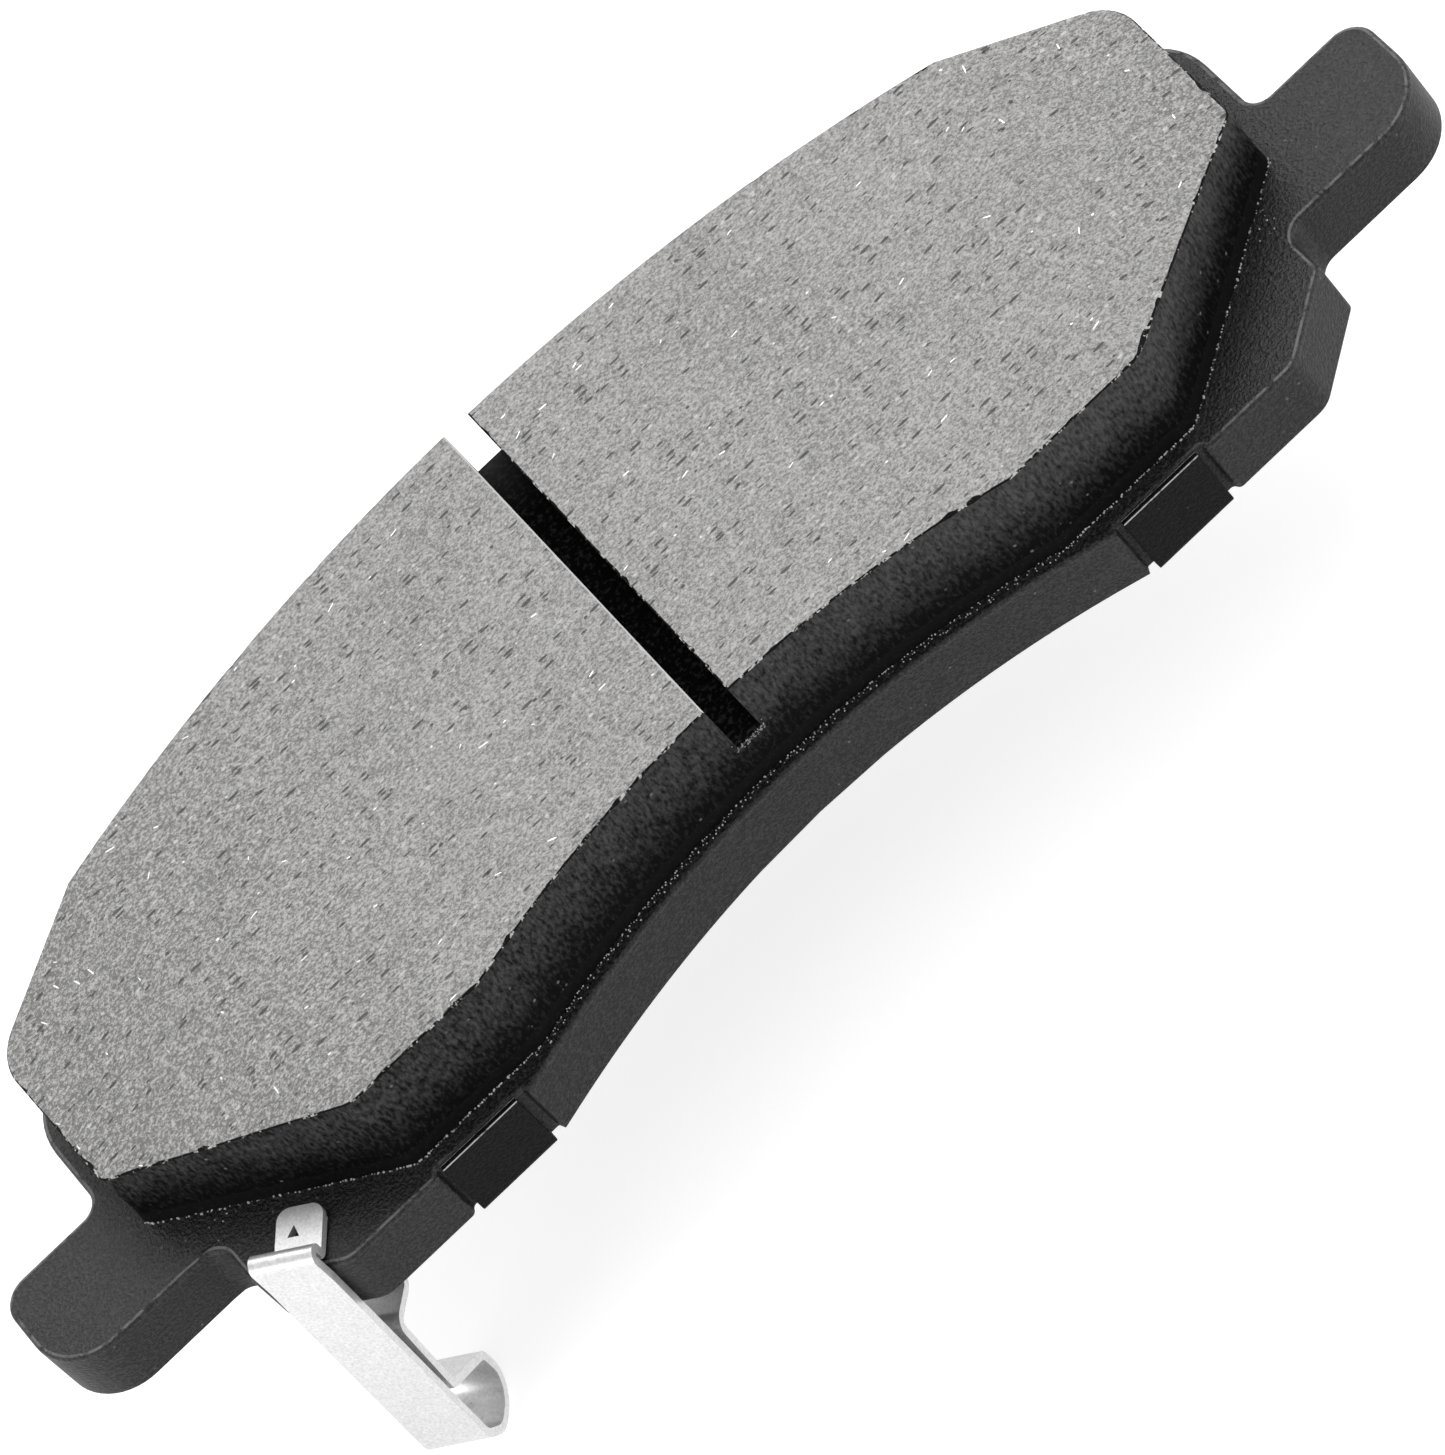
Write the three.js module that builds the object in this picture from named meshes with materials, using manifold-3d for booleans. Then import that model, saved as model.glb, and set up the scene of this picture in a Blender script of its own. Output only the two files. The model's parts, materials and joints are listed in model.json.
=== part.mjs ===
// Disc brake pad: a pressed steel backing plate with two hooked ears, a moulded
// friction block with one radial slot and tapered ends, a bonding layer keyed into
// the plate, a flat damping layer, a tabbed steel shim, and a bent spring clip on
// one shoulder of the plate.
//
// Frame, in millimetres: X runs along the pad from ear to ear, +Y points away from
// the wheel's axle, +Z points at the disc. The origin is on the back face of the
// steel shim, where the caliper's piston presses.

import * as THREE from 'three';
import { mergeVertices } from 'three/addons/utils/BufferGeometryUtils.js';
import Module from 'manifold-3d';

const wasm = await Module();
wasm.setup();

// ---- Driving dimensions -------------------------------------------------------

// Layers, from the piston side to the disc side.
const SHIM_THICKNESS = 0.5;
const SHIM_CLEARANCE = 0.05;
const DAMPER_THICKNESS = 0.3;
const PLATE_THICKNESS = 6.0;
const BOND_THICKNESS = 1.3;
const FRICTION_THICKNESS = 8.45;

const DAMPER_BASE = SHIM_THICKNESS + SHIM_CLEARANCE;
const PLATE_BASE = DAMPER_BASE + DAMPER_THICKNESS;
const PLATE_FRONT = PLATE_BASE + PLATE_THICKNESS;
const FRICTION_BASE = PLATE_FRONT + BOND_THICKNESS;
const FRICTION_TOP = FRICTION_BASE + FRICTION_THICKNESS;

// Backing plate outline, measured from the pad's centre line.
const PLATE_HALF_WIDTH = 58.9;
const PLATE_OUTER_Y = 20.0;
const PLATE_OUTER_RADIUS = 142;
const PLATE_CORNER_ROUNDING = 7;
const PLATE_INNER_Y = -19.75;
const PLATE_FLAT_Y = -24.95;
const PLATE_KNEE_X = 29.4;

// Shallow recess in the plate's edge behind each of the shim's inner tabs.
const RECESS_DEPTH = 0.65;
const RECESS_INNER_X = 29.65;
const RECESS_OUTER_X = 38.5;
const RECESS_LEAN = 0.3;
const RECESS_Y = PLATE_FLAT_Y + RECESS_DEPTH;
const CROWN_HALF_WIDTH = 6.2;
const CROWN_EDGE_DROP = 0.25;
const FLANK_SAG = 0.75;

// Ears that slide in the caliper bracket, and the sloping shoulders beside them.
const EAR_END_X = 69.1;
const EAR_TOP_Y = -4.2;
const EAR_BOTTOM_Y = -15.0;
const NOTCH_X = 53.7;
const SHOULDER_CENTRE = new THREE.Vector2(50.7, -22.25);
const SHOULDER_ANGLE = THREE.MathUtils.degToRad(38);
const SHOULDER_HALF_LENGTH = 4.2;

// Friction block outline.
const FRICTION_OUTER_Y = 19.1;
const FRICTION_OUTER_RADIUS = 150;
const FRICTION_OUTER_CORNER = new THREE.Vector2(57.0, 6.4);
const FRICTION_CORNER = new THREE.Vector2(56.8, -8.9);
const FRICTION_HEEL = new THREE.Vector2(39.0, -22.45);
const FRICTION_KNEE_X = 26.4;
const FRICTION_INNER_Y = -18.5;
const FRICTION_INNER_RADIUS = 90;
const FRICTION_ROUNDING = 4;

// The slot stops short of the plate. The ends of the face slope down to the corners.
const SLOT_WIDTH = 2.4;
const SLOT_DEPTH = 5.5;
const TAPER_ANGLE = THREE.MathUtils.degToRad(10.3);
const TAPER_START_OUTER = new THREE.Vector2(44.3, 12.5);

// Keys of the bonding layer in the plate's through holes.
const KEY_RADIUS = 5.0;
const KEY_CLEARANCE = 0.3;
const KEY_RECESS = 0.4;
const KEY_SIDES = 48;
const KEY_PLACES = [
  [-42, -4],
  [-18, 2],
  [18, 2],
  [42, -4],
];

// Shim and damping layer outline, and the shim's tabs over the plate's edges.
const SHIM_INSET = 1.4;
const SHIM_END_X = 53.5;
const SHIM_SHOULDER_INSET = 6.4;
const DAMPER_INSET = 0.8;
const TAB_WIDTH = 7.4;
const TAB_GAP = 0.05;
const TAB_OUTER_BEND = 0.75;
const TAB_INNER_BEND = 0.25;
const INNER_TAB_X = 34.05;
const SHIM_SHIFT_X = -0.1;
const OUTER_TAB_X = 31;

// Spring clip, bent from one strip of sheet.
const CLIP_THICKNESS = 0.7;
const CLIP_WIDTH = 5.3;
const CLIP_TAB_WIDTH = 3.9;
const CLIP_TAB_OFFSET = 0.25;
const CLIP_CLEARANCE = 0.15;
const CLIP_FOLD_RADIUS = 0.5;
const CLIP_CREST_RISE = 2.65;
const TOOTH_HOLE_SIZE = 1.0;
const TOOTH_HOLE_X = -2.95;

// Finest step of the rounded outlines.
const ARC_STEP = THREE.MathUtils.degToRad(7.5);
const CURVE_POINTS = 24;

// ---- Outlines -----------------------------------------------------------------

/** Points of the corner at a place, rounded with the given radius if there is one. */
function roundCorner(previous, place, next, radius) {
  if (!radius) {
    return [place];
  }
  const toPrevious = previous.clone().sub(place).normalize();
  const toNext = next.clone().sub(place).normalize();
  const halfAngle = toPrevious.angleTo(toNext) / 2;
  const middle = toPrevious.clone().add(toNext).normalize();
  const centre = place.clone().addScaledVector(middle, radius / Math.sin(halfAngle));
  const reach = radius / Math.tan(halfAngle);
  const start = place.clone().addScaledVector(toPrevious, reach).sub(centre);
  const end = place.clone().addScaledVector(toNext, reach).sub(centre);
  const turn = Math.atan2(start.cross(end), start.dot(end));
  const steps = Math.max(1, Math.ceil(Math.abs(turn) / ARC_STEP));
  const points = [];
  for (let i = 0; i <= steps; i += 1) {
    const point = start.clone().rotateAround(new THREE.Vector2(), (turn * i) / steps);
    points.push(point.add(centre));
  }
  return points;
}

/** Closed outline through corners given as { at, round }. */
function roundedOutline(corners) {
  const count = corners.length;
  return corners.flatMap(({ at, round = 0 }, i) => {
    const previous = corners[(i + count - 1) % count].at;
    const next = corners[(i + 1) % count].at;
    return roundCorner(previous, at, next, round);
  });
}

/** A sharp or rounded corner at x, y. */
function corner(x, y, round = 0) {
  return { at: new THREE.Vector2(x, y), round };
}

/** Corners along a circle centred on the centre line, crossing it at crownY. */
function crownArc(crownY, radius, fromX, toX) {
  const side = Math.sign(radius);
  const corners = [];
  for (let i = 0; i <= CURVE_POINTS; i += 1) {
    const x = THREE.MathUtils.lerp(fromX, toX, i / CURVE_POINTS);
    const drop = Math.abs(radius) - Math.sqrt(radius * radius - x * x);
    corners.push(corner(x, crownY - side * drop));
  }
  return corners;
}

/** Height of a circle centred on the centre line, at x. */
function crownHeight(crownY, radius, x) {
  return crownY - (radius - Math.sqrt(radius * radius - x * x));
}

/** The right half of an outline, from the top of the centre line down, and its mirror image. */
function mirrored(rightHalf) {
  const offCentre = rightHalf.filter(({ at }) => at.x > 1e-6);
  const leftHalf = offCentre.map(({ at, round }) => corner(-at.x, at.y, round));
  return [...rightHalf, ...leftHalf.reverse()];
}

// ---- Solids -------------------------------------------------------------------

/** Prism of an outline from one height to another. */
function prism(outline, fromZ, toZ) {
  const shape = new THREE.Shape(outline);
  const geometry = new THREE.ExtrudeGeometry(shape, { depth: toZ - fromZ, bevelEnabled: false });
  return geometry.translate(0, 0, fromZ);
}

/** The manifold solid of a closed geometry. */
function toSolid(geometry) {
  const bare = geometry.index ? geometry.toNonIndexed() : geometry.clone();
  bare.deleteAttribute('normal');
  bare.deleteAttribute('uv');
  const merged = mergeVertices(bare, 1e-5);
  return new wasm.Manifold(new wasm.Mesh({
    numProp: 3,
    vertProperties: new Float32Array(merged.attributes.position.array),
    triVerts: new Uint32Array(merged.index.array),
  }));
}

/** The geometry of a manifold solid, with flat faces. */
function toGeometry(solid) {
  const mesh = solid.getMesh();
  const geometry = new THREE.BufferGeometry();
  geometry.setAttribute('position', new THREE.BufferAttribute(mesh.vertProperties, mesh.numProp));
  geometry.setIndex(new THREE.BufferAttribute(mesh.triVerts, 1));
  const faceted = geometry.toNonIndexed();
  faceted.computeVertexNormals();
  return faceted;
}

/** Joins the second and later geometries to the first. */
function join(first, ...others) {
  const solid = others.reduce((sum, other) => sum.add(toSolid(other)), toSolid(first));
  return toGeometry(solid);
}

/** Cuts the second and later geometries out of the first. */
function cut(first, ...others) {
  const solid = others.reduce((rest, other) => rest.subtract(toSolid(other)), toSolid(first));
  return toGeometry(solid);
}

// ---- Backing plate ------------------------------------------------------------

/** The two ends of the right-hand shoulder's sloping edge. */
function shoulderEnds(inset = 0) {
  const along = new THREE.Vector2(Math.cos(SHOULDER_ANGLE), Math.sin(SHOULDER_ANGLE));
  const inward = new THREE.Vector2(-along.y, along.x);
  const centre = SHOULDER_CENTRE.clone().addScaledVector(inward, inset);
  return {
    outer: centre.clone().addScaledVector(along, SHOULDER_HALF_LENGTH),
    along,
    centre,
  };
}

/** Where the line along a shoulder, moved in by inset, crosses the height y. */
function shoulderAt(y, inset = 0) {
  const { centre, along } = shoulderEnds(inset);
  return centre.x + ((y - centre.y) * along.x) / along.y;
}

/** Where the line along a shoulder, moved in by inset, crosses the upright at x. */
function shoulderHeightAt(x, inset = 0) {
  const { centre, along } = shoulderEnds(inset);
  return centre.y + ((x - centre.x) * along.y) / along.x;
}

/** Inner edge of the plate from the knee to the centre line: two flanks and a short crown. */
function plateInnerEdge() {
  const knee = new THREE.Vector2(PLATE_KNEE_X, PLATE_FLAT_Y);
  const crownEdge = new THREE.Vector2(CROWN_HALF_WIDTH, PLATE_INNER_Y - CROWN_EDGE_DROP);
  const middle = knee.clone().add(crownEdge).multiplyScalar(0.5);
  const flank = new THREE.QuadraticBezierCurve(knee, middle.setY(middle.y + FLANK_SAG * 2), crownEdge);
  const corners = flank.getPoints(CURVE_POINTS).map((at) => ({ at }));
  return [...corners, corner(0, PLATE_INNER_Y)];
}

/** Outline of the backing plate, with its ears and the recesses for the shim's inner tabs. */
function plateOutline() {
  const { outer } = shoulderEnds();
  const outerEndY = crownHeight(PLATE_OUTER_Y, PLATE_OUTER_RADIUS, PLATE_HALF_WIDTH);
  return mirrored([
    ...crownArc(PLATE_OUTER_Y, PLATE_OUTER_RADIUS, 0, PLATE_HALF_WIDTH - PLATE_CORNER_ROUNDING),
    corner(PLATE_HALF_WIDTH, outerEndY, PLATE_CORNER_ROUNDING),
    corner(PLATE_HALF_WIDTH, EAR_TOP_Y, 1.6),
    corner(EAR_END_X, EAR_TOP_Y, 2.4),
    corner(EAR_END_X, EAR_BOTTOM_Y, 5.2),
    corner(NOTCH_X, EAR_BOTTOM_Y, 1.8),
    corner(NOTCH_X, outer.y, 0.6),
    corner(shoulderAt(PLATE_FLAT_Y), PLATE_FLAT_Y, 2.5),
    corner(RECESS_OUTER_X, PLATE_FLAT_Y, 0.5),
    corner(RECESS_OUTER_X - RECESS_LEAN, RECESS_Y, 0.4),
    corner(RECESS_INNER_X, RECESS_Y, 0.2),
    ...plateInnerEdge(),
  ]);
}

function backingPlate() {
  const plate = prism(roundedOutline(plateOutline()), PLATE_BASE, PLATE_FRONT);
  const holes = KEY_PLACES.map(([x, y]) => {
    const radius = KEY_RADIUS + KEY_CLEARANCE;
    const hole = new THREE.CylinderGeometry(radius, radius, PLATE_THICKNESS * 3, KEY_SIDES);
    return hole.rotateX(Math.PI / 2).translate(x, y, PLATE_BASE);
  });
  return cut(plate, ...holes);
}

// ---- Friction material --------------------------------------------------------

function frictionOutline() {
  return mirrored([
    ...crownArc(FRICTION_OUTER_Y, FRICTION_OUTER_RADIUS, 0, TAPER_START_OUTER.x),
    corner(FRICTION_OUTER_CORNER.x, FRICTION_OUTER_CORNER.y, FRICTION_ROUNDING),
    corner(FRICTION_CORNER.x, FRICTION_CORNER.y, 1.2),
    corner(FRICTION_HEEL.x, FRICTION_HEEL.y, 2),
    ...crownArc(FRICTION_INNER_Y, FRICTION_INNER_RADIUS, FRICTION_KNEE_X, 0),
  ]);
}

/** Wedge that planes the face down towards one end; side is 1 for the right end. */
function taperWedge(side) {
  const length = 40;
  const breadth = 90;
  const height = 12;
  const start = TAPER_START_OUTER.clone().add(FRICTION_HEEL).multiplyScalar(0.5);
  const lean = Math.atan2(TAPER_START_OUTER.x - FRICTION_HEEL.x, TAPER_START_OUTER.y - FRICTION_HEEL.y);
  const wedge = new THREE.BoxGeometry(length, breadth, height);
  wedge.translate(length / 2, 0, height / 2);
  wedge.rotateY(TAPER_ANGLE);
  wedge.rotateZ(-lean);
  wedge.translate(start.x, start.y, FRICTION_TOP);
  if (side < 0) {
    wedge.rotateZ(Math.PI);
    wedge.applyMatrix4(new THREE.Matrix4().makeScale(1, -1, 1));
    flipFaces(wedge);
  }
  return wedge;
}

/** Turns every face round, after a mirroring has turned the solid inside out. */
function flipFaces(geometry) {
  const { index } = geometry;
  for (let i = 0; i < index.count; i += 3) {
    const first = index.getX(i);
    index.setX(i, index.getX(i + 2));
    index.setX(i + 2, first);
  }
}

function frictionBlock() {
  const block = prism(roundedOutline(frictionOutline()), FRICTION_BASE, FRICTION_TOP);
  const slot = new THREE.BoxGeometry(SLOT_WIDTH, 80, SLOT_DEPTH * 2);
  slot.translate(0, 0, FRICTION_TOP);
  return cut(block, slot, taperWedge(1), taperWedge(-1));
}

/** Thin layer under the friction block, with keys that fill the plate's holes. */
function bondingLayer() {
  const layer = prism(roundedOutline(frictionOutline()), PLATE_FRONT, FRICTION_BASE);
  const keyBase = PLATE_BASE + KEY_RECESS;
  const keyTop = PLATE_FRONT + BOND_THICKNESS / 2;
  const keys = KEY_PLACES.map(([x, y]) => {
    const key = new THREE.CylinderGeometry(KEY_RADIUS, KEY_RADIUS, keyTop - keyBase, KEY_SIDES);
    return key.rotateX(Math.PI / 2).translate(x, y, (keyTop + keyBase) / 2);
  });
  return join(layer, ...keys);
}

// ---- Damping layer and shim ---------------------------------------------------

/** Outline of a layer on the plate's back, moved in from the plate's edge by inset. */
function backLayerOutline(inset) {
  const outerY = PLATE_OUTER_Y - inset;
  const outerRadius = PLATE_OUTER_RADIUS - inset;
  const endX = SHIM_END_X - inset;
  const flatY = PLATE_FLAT_Y + inset;
  const shoulderInset = SHIM_SHOULDER_INSET + inset;
  const innerEdge = plateInnerEdge().map(({ at }) => corner(at.x, at.y + inset));
  return mirrored([
    ...crownArc(outerY, outerRadius, 0, endX - 5),
    corner(endX, crownHeight(outerY, outerRadius, endX), 4),
    corner(endX, shoulderHeightAt(endX, shoulderInset), 3),
    corner(shoulderAt(flatY, shoulderInset), flatY, 1.5),
    ...innerEdge,
  ]);
}

/** One tab: a strip that leaves the shim's edge, bends up and stands against the plate's edge. */
function shimTab(x, edgeY, turn) {
  const standing = TAB_GAP + SHIM_THICKNESS;
  const rootLength = SHIM_INSET + 1;
  const section = roundedOutline([
    corner(-rootLength, 0),
    corner(standing, 0, TAB_OUTER_BEND),
    corner(standing, PLATE_FRONT),
    corner(TAB_GAP, PLATE_FRONT),
    corner(TAB_GAP, SHIM_THICKNESS, TAB_INNER_BEND),
    corner(-rootLength, SHIM_THICKNESS),
  ]);
  const tab = prism(section, -TAB_WIDTH / 2, TAB_WIDTH / 2);
  const outward = new THREE.Vector3(Math.sin(turn), Math.cos(turn), 0);
  const up = new THREE.Vector3(0, 0, 1);
  const across = new THREE.Vector3().crossVectors(outward, up);
  const place = new THREE.Matrix4().makeBasis(outward, up, across);
  place.setPosition(x, edgeY, 0);
  return tab.applyMatrix4(place);
}

function dampingLayer() {
  const inset = SHIM_INSET + DAMPER_INSET;
  return prism(roundedOutline(backLayerOutline(inset)), DAMPER_BASE, PLATE_BASE);
}

function steelShim() {
  const sheet = prism(roundedOutline(backLayerOutline(SHIM_INSET)), 0, SHIM_THICKNESS);
  const outerTurn = Math.asin(OUTER_TAB_X / PLATE_OUTER_RADIUS);
  const outerEdgeY = crownHeight(PLATE_OUTER_Y, PLATE_OUTER_RADIUS, OUTER_TAB_X);
  const tabs = [-1, 1].flatMap((side) => [
    shimTab(side * INNER_TAB_X + SHIM_SHIFT_X, RECESS_Y, Math.PI),
    shimTab(side * OUTER_TAB_X, outerEdgeY + 0.05, side * outerTurn),
  ]);
  return join(sheet, ...tabs);
}

// ---- Spring clip --------------------------------------------------------------

/** Outline of a bent strip of the given thickness that follows a path of points. */
function stripOutline(path, thickness) {
  const sides = path.map((point, i) => {
    const before = path[Math.max(0, i - 1)];
    const after = path[Math.min(path.length - 1, i + 1)];
    const along = after.clone().sub(before).normalize();
    const aside = new THREE.Vector2(-along.y, along.x).multiplyScalar(thickness / 2);
    return { left: point.clone().add(aside), right: point.clone().sub(aside) };
  });
  const left = sides.map((side) => side.left);
  const right = sides.map((side) => side.right).reverse();
  return [...left, ...right];
}

/** Rounds an open path's inner corners. */
function roundedPath(corners) {
  return corners.flatMap(({ at, round }, i) => {
    const isEnd = i === 0 || i === corners.length - 1;
    return isEnd ? [at] : roundCorner(corners[i - 1].at, at, corners[i + 1].at, round);
  });
}

// The clip's section is drawn with x pointing out of the shoulder and y towards the
// disc, measured from the plate's back face.
const CLIP_STEM_X = CLIP_CLEARANCE + CLIP_THICKNESS / 2;
const CLIP_FOLD_X = CLIP_STEM_X - 2 * CLIP_FOLD_RADIUS;
const CLIP_CREST_Y = PLATE_THICKNESS + CLIP_CREST_RISE - CLIP_THICKNESS / 2;
const CLIP_REST_Y = PLATE_THICKNESS + CLIP_CLEARANCE + CLIP_THICKNESS / 2;

/** Front tab: leaves the fold at its foot and lies flat along the plate's front face. */
const TAB_PATH = roundedPath([
  corner(CLIP_FOLD_X, CLIP_REST_Y + 1),
  corner(CLIP_FOLD_X, CLIP_REST_Y, 0.6),
  corner(-4.95, CLIP_REST_Y + 0.1),
]);

/** Fold over the crest, stem, rolled end, kink and rear spring leaf. */
const STEM_PATH = roundedPath([
  corner(CLIP_FOLD_X, CLIP_REST_Y + 0.5),
  corner(CLIP_FOLD_X, CLIP_CREST_Y, CLIP_FOLD_RADIUS),
  corner(CLIP_STEM_X, CLIP_CREST_Y, CLIP_FOLD_RADIUS),
  corner(CLIP_STEM_X, PLATE_THICKNESS - 1, 4),
  corner(1.95, -19.0, 1.8),
  corner(0.4, -21.3, 2.0),
  corner(-3.9, -21.6, 2.5),
  corner(-3.9, -17.3, 1.2),
  corner(0.5, -13.3, 0.6),
  corner(-0.4, -4.7, 0.9),
  corner(-4.5, -5.6, 0.9),
  corner(-5.2, -CLIP_CLEARANCE),
]);

/** Small triangular hole where a tooth is lanced out of the tab. */
function toothHole() {
  const half = TOOTH_HOLE_SIZE / 2;
  const depth = CLIP_THICKNESS * 3;
  const outline = [
    new THREE.Vector2(half, -half),
    new THREE.Vector2(half, half),
    new THREE.Vector2(-half, 0),
  ];
  const hole = prism(outline, -depth / 2, depth / 2);
  hole.rotateX(Math.PI / 2);
  return hole.translate(TOOTH_HOLE_X, CLIP_REST_Y, CLIP_WIDTH / 2);
}

function springClip() {
  const stem = prism(stripOutline(STEM_PATH, CLIP_THICKNESS), 0, CLIP_WIDTH);
  const tabOutline = stripOutline(TAB_PATH, CLIP_THICKNESS);
  const tab = prism(tabOutline, CLIP_TAB_OFFSET, CLIP_TAB_OFFSET + CLIP_TAB_WIDTH);
  return cut(join(stem, tab), toothHole());
}

/** Stands the clip on the middle of the left-hand shoulder. */
function placeOnLeftShoulder(mesh) {
  const along = new THREE.Vector3(Math.cos(SHOULDER_ANGLE), -Math.sin(SHOULDER_ANGLE), 0);
  const outward = new THREE.Vector3(-Math.sin(SHOULDER_ANGLE), -Math.cos(SHOULDER_ANGLE), 0);
  const up = new THREE.Vector3(0, 0, 1);
  const basis = new THREE.Matrix4().makeBasis(outward, up, along.clone().negate());
  mesh.quaternion.setFromRotationMatrix(basis);
  mesh.position.set(-SHOULDER_CENTRE.x, SHOULDER_CENTRE.y, PLATE_BASE);
  mesh.position.addScaledVector(along, CLIP_WIDTH / 2);
}

// ---- Assembly -----------------------------------------------------------------

/** A named mesh with a finish of its own. */
function piece(name, geometry, color, roughness, metalness) {
  const material = new THREE.MeshStandardMaterial({ color, roughness, metalness });
  const mesh = new THREE.Mesh(geometry, material);
  mesh.name = name;
  return mesh;
}

const clip = piece('spring_clip', springClip(), 0xdcdee0, 0.32, 1.0);
placeOnLeftShoulder(clip);

const brakePad = new THREE.Group();
brakePad.add(
  piece('backing_plate', backingPlate(), 0x2f3032, 0.55, 0.3),
  piece('friction_block', frictionBlock(), 0x9d9c98, 0.95, 0.1),
  piece('bonding_layer', bondingLayer(), 0x1f1f20, 0.9, 0.0),
  piece('damping_layer', dampingLayer(), 0x141414, 0.8, 0.0),
  piece('steel_shim', steelShim(), 0x1b1b1c, 0.6, 0.4),
  clip,
);

export default brakePad;
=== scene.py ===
"""A disc brake pad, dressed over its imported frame.

The pad lies face up: X runs from ear to ear, +Y points away from the wheel's axle and
+Z at the disc. Sizes are in metres, and fields that end in _mm are in millimetres.
"""

import json
import logging
import math
import random
from collections.abc import Callable, Iterable
from contextlib import contextmanager
from dataclasses import dataclass
from enum import Enum, IntEnum

import bmesh
import bpy
from mathutils import Matrix, Vector, noise

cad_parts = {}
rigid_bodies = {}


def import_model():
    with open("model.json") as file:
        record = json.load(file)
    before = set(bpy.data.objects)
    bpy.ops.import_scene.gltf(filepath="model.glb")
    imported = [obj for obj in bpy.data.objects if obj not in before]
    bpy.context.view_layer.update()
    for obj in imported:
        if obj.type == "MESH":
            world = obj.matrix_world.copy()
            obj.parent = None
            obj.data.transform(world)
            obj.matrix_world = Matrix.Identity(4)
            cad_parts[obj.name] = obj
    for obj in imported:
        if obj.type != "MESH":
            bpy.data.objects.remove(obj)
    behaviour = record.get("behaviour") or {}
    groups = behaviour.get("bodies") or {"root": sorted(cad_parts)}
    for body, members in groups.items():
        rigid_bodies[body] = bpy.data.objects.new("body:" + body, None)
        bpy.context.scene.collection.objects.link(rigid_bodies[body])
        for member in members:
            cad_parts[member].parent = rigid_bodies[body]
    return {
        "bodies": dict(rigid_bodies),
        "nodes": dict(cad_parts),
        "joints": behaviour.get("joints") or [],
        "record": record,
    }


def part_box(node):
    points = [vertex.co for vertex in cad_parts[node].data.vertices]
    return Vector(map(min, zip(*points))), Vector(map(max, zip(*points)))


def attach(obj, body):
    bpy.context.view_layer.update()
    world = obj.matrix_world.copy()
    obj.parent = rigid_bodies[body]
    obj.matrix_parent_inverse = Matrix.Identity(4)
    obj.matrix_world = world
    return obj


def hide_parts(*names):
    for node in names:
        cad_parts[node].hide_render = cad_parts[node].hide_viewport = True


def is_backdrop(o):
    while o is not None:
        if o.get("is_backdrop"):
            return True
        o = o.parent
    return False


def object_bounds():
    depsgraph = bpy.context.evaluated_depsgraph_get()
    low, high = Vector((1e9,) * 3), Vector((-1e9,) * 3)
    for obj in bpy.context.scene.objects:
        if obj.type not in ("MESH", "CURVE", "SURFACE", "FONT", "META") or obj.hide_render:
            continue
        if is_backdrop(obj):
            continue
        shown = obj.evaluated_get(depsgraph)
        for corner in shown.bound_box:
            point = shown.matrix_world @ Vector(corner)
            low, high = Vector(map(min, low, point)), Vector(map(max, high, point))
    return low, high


MM = 0.001
MERGE_DISTANCE = 0.002 * MM
SAME_LEVEL = 0.02 * MM
FLAT_ANGLE = math.radians(0.1)
SHARP_ANGLE = math.radians(50)
PLATE_FRONT_MM = 6.85
PLATE_FRONT_Z = PLATE_FRONT_MM * MM

# The rise of a unit normal is over the first on a level face, and under the second on
# an upright one.
LEVEL_RISE = 0.9
UPRIGHT_RISE = 0.5

log = logging.getLogger("brake_pad")

Number = float | int
Colour = tuple[float, float, float, float]
EdgeTest = Callable[[bmesh.types.BMEdge], bool]
FaceTest = Callable[[bmesh.types.BMFace], bool]
VertTest = Callable[[bmesh.types.BMVert], bool]


class Body(str, Enum):
    """The rigid bodies that pieces ride on."""

    PAD = "pad"
    SHIM = "shim"
    CLIP = "clip"


class Node(str, Enum):
    """The solids of the frame, which are also the names of its material slots."""

    PLATE = "backing_plate"
    FRICTION = "friction_block"
    BOND = "bonding_layer"
    DAMPER = "damping_layer"
    SHIM = "steel_shim"
    CLIP = "spring_clip"


# ---- Shader maths ---------------------------------------------------------------


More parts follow.
